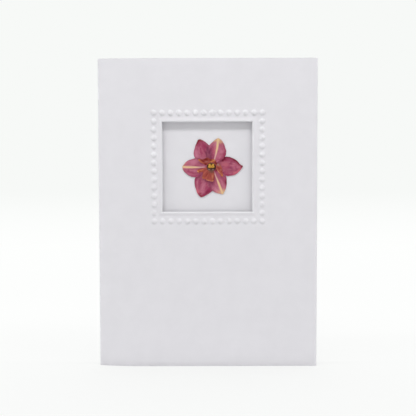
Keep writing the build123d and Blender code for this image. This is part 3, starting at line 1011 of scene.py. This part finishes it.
def trumpet_surface(flower, piece, depth, throat, seed):
    """A torn piece of the trumpet: rays from its apex, from the throat's edge out to the rim's curve.

    The pleats are folds along the rays that deepen towards the rim, and the rim itself is frilled.
    """
    apex_x, apex_z = piece.apex[0] * MM, piece.apex[1] * MM
    turns, distances = np.array(piece.rim, float).T
    steps, rays = TRUMPET_CELLS
    turn = np.linspace(turns[0], turns[-1], rays + 1)
    rim = curve_through(turn, turns, distances) * MM
    rim = rim * (1 + flower.ragged * value_noise(turn / 4, turn * 0, 0.7, seed))
    start = throat - np.hypot(apex_x, apex_z) * 0.8
    share, ray = np.meshgrid(np.linspace(0, 1, steps + 1), np.arange(rays + 1), indexing="ij")
    distance = start + (rim[ray] - start) * share
    x = apex_x + distance * np.cos(np.radians(turn[ray]))
    z = apex_z + distance * np.sin(np.radians(turn[ray]))

    def uneven(size, number):
        """Noise on the piece, with features of that size in millimetres."""
        return value_noise(x, z, size * MM, seed + number)

    phase = piece.pleats * 2 * pi * ray / rays + 0.9 * value_noise(ray / 9.0, share * 2, 1.0, seed + 1)
    fold = 0.5 - 0.5 * np.cos(phase)
    frill = smooth(share, 0.8, 1.0) * (0.5 + 0.5 * np.sin(3 * phase))
    relief = flower.pleat * share * fold + flower.frill * frill + flower.wrinkle * uneven(0.6, 2) * share
    y = depth - (x**2 + z**2) / (2 * flower.bowl_radius) - relief
    patched_at = x / MM + 0.12 * uneven(0.7, 3), z / MM + 0.12 * uneven(0.7, 4)
    masks = spotted(piece.patches, TRUMPET_COATS, *patched_at)
    # Painted shade in the hollows of the pleats, strongest near the throat
    masks["fold"] = 0.6 * (1 - fold) * smooth(share, 0.0, 0.3)
    return leaf(x, y, z, flower.trumpet_thickness, (share, ray / rays), masks)


class FLOWERCARD_OT_trumpet(bpy.types.Operator):
    """Lay the three torn pieces of the trumpet round the throat"""

    bl_idname = "flowercard.trumpet"
    bl_label = "Trumpet"

    def execute(self, context):
        flower = context.scene.card_flower
        material = dried_trumpet(context.scene.card_colours)
        low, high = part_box("throat")
        depth = high.y - flower.trumpet_thickness / 2
        # The pieces start under the throat, a little inside its rim
        throat = 0.85 * (high.x - low.x) / 2
        for number, (name, piece) in enumerate(TRUMPET_PIECES.items()):
            surface = trumpet_surface(flower, piece, depth, throat, TRUMPET_SEED + number)
            add_piece(name, surface, material)
        return {"FINISHED"}


def throat_surface(flower):
    """Oval dish on a disc grid: a wrinkled floor, a rounded wall, lower at the bottom, and a flat back."""
    low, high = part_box("throat")
    middle, size = (low + high) / 2, (high - low) / 2
    radius, bearing = disc(THROAT_CELLS)
    x = middle.x + size.x * radius * np.cos(bearing)
    z = middle.z + size.z * radius * np.sin(bearing)
    tall = 0.3 + 0.7 * smooth(np.sin(bearing), -0.95, -0.45)
    wall = smooth(radius, 0.72, 0.92) * tall
    wrinkles = flower.wrinkle * value_noise(bearing * 3, radius * 2, 0.35, THROAT_SEED) * (1 - wall)
    # The rim stays 0.01 mm inside the CAD node's box
    floor_y, rim_y = high.y - flower.throat_floor, low.y + 0.01 * MM
    rounded = flower.throat_rim * smooth(radius, 0.93, 1.0) * tall
    y = floor_y + (rim_y - floor_y) * wall - wrinkles + rounded
    centre_x, centre_z = flower_centre()
    masks = spotted(THROAT_PATCHES, THROAT_COATS, (x - centre_x) / MM, (z - centre_z) / MM)
    return shell(x, y, high.y, z, 1, (radius, bearing / (2 * pi)), masks)


def anther_surface(flower):
    """Cluster of lobes on a disc grid: each point stands as high as the lobe that is highest there."""
    rim_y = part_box("throat")[0].y
    radius, bearing = disc(ANTHER_CELLS)
    x = ANTHER_REACH[0] * MM * radius * np.cos(bearing)
    z = ANTHER_REACH[1] * MM * radius * np.sin(bearing)
    heights = []
    for lobe_x, lobe_z, lobe_radius, lobe_height in ANTHER_LOBES:
        away = np.hypot(x / MM - lobe_x, z / MM - lobe_z) / lobe_radius
        heights.append(lobe_height * MM * np.sqrt(np.clip(1 - away**2, 0, 1)))
    next_tall, tall = np.sort(heights, 0)[-2:]
    grain = flower.pollen * value_noise(x, z, 0.14 * MM, ANTHER_SEED)
    y = np.maximum(rim_y - tall - grain * (tall > 0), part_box("anthers")[0].y)
    # Painted shade: 1 where two lobes meet and where the cluster stands low
    cleft_shade = smooth(next_tall / np.maximum(tall, 1e-9), 0.75, 1.0) + 1 - smooth(tall, 0.0, 0.18 * MM)
    centre_x, centre_z = flower_centre()
    masks = {"cleft_shade": np.clip(cleft_shade, 0, 1)}
    # The cluster's back reaches 0.02 mm into the throat, so no gap shows at its foot
    return shell(x + centre_x, y, rim_y + 0.02 * MM, z + centre_z, 1, masks=masks)


class FLOWERCARD_OT_throat(bpy.types.Operator):
    """Set the dark throat and its cluster of anthers"""

    bl_idname = "flowercard.throat"
    bl_label = "Throat and anthers"

    def execute(self, context):
        colours, flower = context.scene.card_colours, context.scene.card_flower
        add_piece("throat", throat_surface(flower), dried_throat(colours))
        add_piece("anthers", anther_surface(flower), dried_anthers(colours), sharp=50)
        return {"FINISHED"}


# The studio

def seen_by_camera(tree):
    """1 for camera, glossy and transmission rays, else 0."""
    path = add_node(tree, "ShaderNodeLightPath").outputs
    seen = path["Is Camera Ray"]
    for kind in ("Is Glossy Ray", "Is Transmission Ray"):
        seen = add_node(tree, "ShaderNodeMath", {0: seen, 1: path[kind]}, operation="MAXIMUM").outputs[0]
    return seen


def add_floor(studio):
    """A wide paper floor, which keeps a share of the card's shadow and has painted shade at the card's foot.

    As the camera sees it, its colour changes from front to back, as a photographer's lit sweep does.
    """
    material, tree = new_material("Pale paper floor", 0.9)
    surface = tree.nodes["Principled BSDF"]
    contact_shade, foot = (
        add_node(tree, "ShaderNodeAmbientOcclusion", {"Distance": reach}).outputs["AO"]
        for reach in (studio.contact_reach, studio.foot_reach)
    )
    # Painted contact shadow: as the card sees it, the floor's own colour goes dark under the card's edge
    tree.links.new(lay(tree, studio.contact_shade, [(contact_shade, studio.floor)]), surface.inputs["Base Color"])
    place = add_node(tree, "ShaderNodeTexCoord").outputs["Object"]
    measures = {
        "off": add_node(tree, "ShaderNodeVectorMath", {0: place}, operation="LENGTH").outputs["Value"],
        "behind": add_node(tree, "ShaderNodeSeparateXYZ", {0: place}).outputs["Y"],
    }
    share = {}
    for name, (measure, *ends) in FLOOR_CHANGES.items():
        inputs = dict(enumerate([measures[measure], *ends]))
        step = add_node(tree, "ShaderNodeMapRange", inputs, interpolation_type="SMOOTHSTEP")
        share[name] = step.outputs[0]
    # Painted shade at the card's foot, where the card shuts the floor off from half the room
    open_share = {0: foot, 1: share["past_foot"]}
    open_share = add_node(tree, "ShaderNodeMath", open_share, operation="MAXIMUM").outputs[0]
    coats = [(share["lit"], studio.floor_lit), (share["backdrop"], studio.backdrop)]
    paper = lay(tree, studio.floor_foot_shade, [(open_share, lay(tree, studio.floor_near, coats))])
    glow = add_node(tree, "ShaderNodeEmission", {"Color": paper, "Strength": 1.0}).outputs[0]
    white = add_node(tree, "ShaderNodeBsdfDiffuse", {"Color": WHITE}).outputs[0]
    seen = add_node(tree, "ShaderNodeMixShader", {0: share["shadow"], 1: glow, 2: white}).outputs[0]
    final = {0: seen_by_camera(tree), 1: surface.outputs[0], 2: seen}
    final = add_node(tree, "ShaderNodeMixShader", final).outputs[0]
    tree.links.new(final, tree.nodes["Material Output"].inputs["Surface"])
    mesh = bpy.data.meshes.new("floor")
    corners = [(x, y, 0) for x, y in ((-0.5, -0.5), (0.5, -0.5), (0.5, 0.5), (-0.5, 0.5))]
    mesh.from_pydata(np.multiply(corners, studio.floor_size), [], [(0, 1, 2, 3)])
    mesh.materials.append(material)
    floor = add_object("floor", mesh)


def set_sky(context, studio):
    """Even light from all round, which the camera sees as the backdrop's colour."""
    world = bpy.data.worlds.new("Studio")
    context.scene.world = world
    world.use_nodes = True
    tree = world.node_tree
    light = tree.nodes["Background"]
    light.inputs["Color"].default_value = WHITE
    light.inputs["Strength"].default_value = studio.sky
    seen = add_node(tree, "ShaderNodeBackground", {"Color": studio.backdrop, "Strength": 1.0}).outputs[0]
    mix = add_node(tree, "ShaderNodeMixShader", {0: seen_by_camera(tree), 1: light.outputs[0], 2: seen})
    tree.links.new(mix.outputs[0], tree.nodes["World Output"].inputs["Surface"])


def add_lights(studio):
    """A wide shallow strip over the front, and a tall soft panel on each side and behind the card."""
    low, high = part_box("card")
    aim = Vector((0, low.y, (low.z + high.z) / 2))
    key = studio.key_elevation, studio.key_distance, studio.key_width, studio.key_depth
    side = studio.side_rise, studio.side_distance, studio.side_width, studio.side_height
    for name, turn, strength, (rise, distance, width, height) in (
        ("key", 0, studio.key_strength, key),
        ("side_left", -studio.side_turn, studio.side_strength, side),
        ("side_right", studio.side_turn, studio.side_strength, side),
        ("rear", pi, studio.rear_strength, side),
    ):
        way = Vector((sin(turn) * cos(rise), -cos(turn) * cos(rise), sin(rise)))
        data = bpy.data.lights.new(name, "AREA")
        data.shape = "RECTANGLE"
        data.size, data.size_y, data.energy = width, height, strength
        light = add_object(name, data)
        light.location = aim + way * distance
        light.rotation_mode = "QUATERNION"
        light.rotation_quaternion = way.to_track_quat("Z", "Y")


def add_camera(context, studio):
    """The photograph's view: a long lens, a little above the card's middle and looking slightly down."""
    data = bpy.data.cameras.new("camera")
    data.lens, data.sensor_width = studio.lens, studio.sensor
    turn = Matrix.Rotation(studio.camera_yaw, 4, "Z")
    turn = turn @ Matrix.Rotation(pi / 2 - studio.camera_pitch, 4, "X")
    turn = turn @ Matrix.Rotation(studio.camera_roll, 4, "Z")
    place = Vector((studio.camera_right, -studio.camera_distance, studio.camera_height))
    camera = add_object("camera", data)
    camera.matrix_world = Matrix.Translation(place) @ turn
    context.scene.camera = camera


class FLOWERCARD_OT_studio(bpy.types.Operator):
    """Lay the pale floor, hang the soft lights and set the camera"""

    bl_idname = "flowercard.studio"
    bl_label = "Studio"

    def execute(self, context):
        studio = context.scene.card_studio
        add_floor(studio)
        set_sky(context, studio)
        add_lights(studio)
        add_camera(context, studio)
        context.scene.view_settings.view_transform = "Standard"
        return {"FINISHED"}


class FLOWERCARD_PT_build(bpy.types.Panel):
    """Buttons that build the card"""

    bl_idname = "FLOWERCARD_PT_build"
    bl_label = "Pressed flower card"
    bl_space_type = "VIEW_3D"
    bl_region_type = "UI"
    bl_category = "Flower card"

    def draw(self, context):
        for operator in OPERATORS:
            self.layout.operator(operator.bl_idname)


OPERATORS = (
    FLOWERCARD_OT_sheet,
    FLOWERCARD_OT_mounting,
    FLOWERCARD_OT_petals,
    FLOWERCARD_OT_trumpet,
    FLOWERCARD_OT_throat,
    FLOWERCARD_OT_studio,
)
GROUPS = {
    "card_sheet": FLOWERCARD_PG_sheet,
    "card_flower": FLOWERCARD_PG_flower,
    "card_colours": FLOWERCARD_PG_colours,
    "card_studio": FLOWERCARD_PG_studio,
}


def register():
    """Registers the property groups, the operators and the panel."""
    for name, group in GROUPS.items():
        bpy.utils.register_class(group)
        setattr(bpy.types.Scene, name, PointerProperty(type=group))
    for item in OPERATORS + (FLOWERCARD_PT_build,):
        bpy.utils.register_class(item)


def unregister():
    """Removes all that register added."""
    for item in (FLOWERCARD_PT_build,) + OPERATORS[::-1]:
        bpy.utils.unregister_class(item)
    for name, group in GROUPS.items():
        delattr(bpy.types.Scene, name)
        bpy.utils.unregister_class(group)


def main():
    """Builds everything in order."""
    register()
    for operator in OPERATORS:
        group, name = operator.bl_idname.split(".")
        getattr(getattr(bpy.ops, group), name)()


if __name__ == "__main__":
    main()
